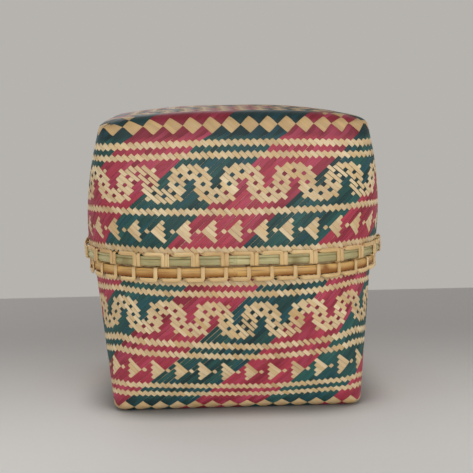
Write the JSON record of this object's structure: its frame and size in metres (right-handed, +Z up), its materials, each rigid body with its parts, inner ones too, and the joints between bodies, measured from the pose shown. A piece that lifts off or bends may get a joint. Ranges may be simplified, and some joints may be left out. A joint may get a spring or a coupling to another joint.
{
  "type": "woven bamboo box",
  "caption": "Square-footed plaited bamboo box with a rounder mouth, a domed lid that drops over an inner collar, and cane-lashed hoop rims; the lid lifts off.",
  "frame": {"origin": "centre of the underside, on the surface that the box stands on", "axes": "+Z up along the lid's lift, -Y towards the side that the picture faces, +X to its right"},
  "size_m": [0.2146, 0.2146, 0.2085],
  "materials": {
    "outer_weave": "split bamboo strips, dyed rose and teal and left natural, slight sheen",
    "lining": "plain split bamboo strips, matt",
    "olive_hoop": "greenish bamboo skin, satin",
    "amber_hoop": "amber cane, satin",
    "inner_hoop": "split bamboo, matt",
    "lashing_cane": "split cane strand, satin"
  },
  "bodies": {
    "base": {"base_outer_weave": "outer_weave", "base_lining_wall": "lining", "base_lining_floor": "lining", "base_outer_hoop": "amber_hoop", "base_inner_hoop": "inner_hoop", "base_lashing": "lashing_cane"},
    "lid": {"lid_outer_weave": "outer_weave", "lid_lining_wall": "lining", "lid_lining_top": "lining", "lid_broad_hoop": "olive_hoop", "lid_thin_hoop": "olive_hoop", "lid_inner_hoop": "inner_hoop", "lid_lashing": "lashing_cane"}
  },
  "joints": [
    {"name": "lid_lift", "type": "slide", "parent": "base", "child": "lid", "axis": [0, 0, 1], "range_m": [0, 0.16]}
  ]
}
